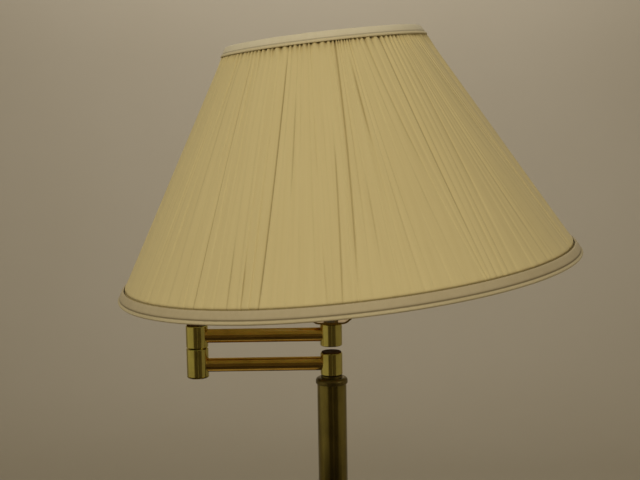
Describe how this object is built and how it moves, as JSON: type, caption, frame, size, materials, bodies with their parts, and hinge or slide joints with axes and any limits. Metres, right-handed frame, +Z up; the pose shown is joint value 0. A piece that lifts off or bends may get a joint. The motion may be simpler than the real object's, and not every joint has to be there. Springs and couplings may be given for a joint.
{
  "type": "bridge floor lamp",
  "caption": "Floor lamp with a straight brass pole on a round weighted base, folding swing arms under a pleated empire shade held by a harp.",
  "frame": {"origin": "on the floor, on the pole's axis", "axes": "+Z up along the pole, the folded arms reach towards -X, the cord inlet is towards +Y"},
  "size_m": [0.3896, 0.3912, 1.4521],
  "materials": {
    "felt": "matt",
    "cast_weight": "rough",
    "aged_brass": "satin",
    "black_rubber": "matt",
    "moulded_insulator": "matt",
    "plated_steel": "satin",
    "dark_bronze": "satin",
    "fibre_washer": "matt",
    "lead_sheath": "matt",
    "polished_brass": "polished",
    "insulating_card": "matt",
    "opal_glass": "frosted",
    "lining": "matt",
    "pleated_cloth": "matt",
    "trim_cloth": "matt"
  },
  "bodies": {
    "stand": {"base_felt": "felt", "base_weight": "cast_weight", "base_cover": "aged_brass", "cord_grommet": "black_rubber", "terminal_block": "moulded_insulator", "base_nut": "plated_steel", "base_washer": "plated_steel", "base_stem": "plated_steel", "base_collar": "aged_brass", "lower_pole": "aged_brass", "middle_pole": "aged_brass", "upper_pole": "aged_brass", "pole_foot_insert": "plated_steel", "pole_couplings": "plated_steel", "pole_cap": "dark_bronze", "post_stem": "plated_steel", "post_washers": "fibre_washer", "post_nut": "plated_steel", "pole_lead": "lead_sheath"},
    "lower_arm": {"post_knuckle": "polished_brass", "post_knuckle_cap": "dark_bronze", "lower_arm_tube": "polished_brass", "elbow_lower_knuckle": "polished_brass", "elbow_bottom_cap": "polished_brass", "elbow_stem": "plated_steel", "elbow_washers": "fibre_washer", "elbow_nuts": "plated_steel", "lower_arm_lead": "lead_sheath"},
    "upper_arm": {"elbow_upper_knuckle": "polished_brass", "elbow_top_cap": "dark_bronze", "upper_arm_tube": "polished_brass", "socket_knuckle": "polished_brass", "socket_knuckle_cap": "dark_bronze", "socket_stem": "plated_steel", "socket_nuts": "plated_steel", "upper_arm_lead": "lead_sheath", "harp_saddle": "polished_brass", "harp_wire": "polished_brass", "harp_crown": "polished_brass", "finial": "polished_brass", "socket_cap": "polished_brass", "socket_shell": "polished_brass", "socket_liner": "insulating_card", "socket_body": "moulded_insulator", "screw_shell": "polished_brass", "centre_contact": "polished_brass", "bulb_base": "plated_steel", "bulb_glass": "opal_glass"},
    "left_sleeve": {"harp_sleeve_left": "polished_brass"},
    "right_sleeve": {"harp_sleeve_right": "polished_brass"},
    "switch": {"switch_shaft": "plated_steel", "switch_knob": "moulded_insulator"},
    "shade": {"shade_spider": "plated_steel", "bottom_ring": "plated_steel", "shade_lining": "lining", "pleated_cover": "pleated_cloth", "bottom_trim": "trim_cloth", "top_trim": "trim_cloth"}
  },
  "joints": [
    {"name": "lower_arm_swing", "type": "hinge", "parent": "stand", "child": "lower_arm", "pos_m": [0, 0, 1.16683], "axis": [0, 0, 1], "range_deg": [-165, 165]},
    {"name": "elbow_swing", "type": "hinge", "parent": "lower_arm", "child": "upper_arm", "pos_m": [-0.1155, 0, 1.19222], "axis": [0, 0, 1], "range_deg": [-165, 165]},
    {"name": "shade_turn", "type": "hinge", "parent": "upper_arm", "child": "shade", "pos_m": [-0.002, 0, 1.43195], "axis": [-0.0958, -0.0295, 0.995], "continuous": true},
    {"name": "switch_turn", "type": "hinge", "parent": "upper_arm", "child": "switch", "pos_m": [0, -0.02, 1.22935], "axis": [0, -1, 0], "continuous": true},
    {"name": "left_sleeve_slide", "type": "slide", "parent": "upper_arm", "child": "left_sleeve", "axis": [0, 0, 1], "range_m": [0, 0.01]},
    {"name": "right_sleeve_slide", "type": "slide", "parent": "upper_arm", "child": "right_sleeve", "axis": [0, 0, 1], "range_m": [0, 0.01]}
  ]
}
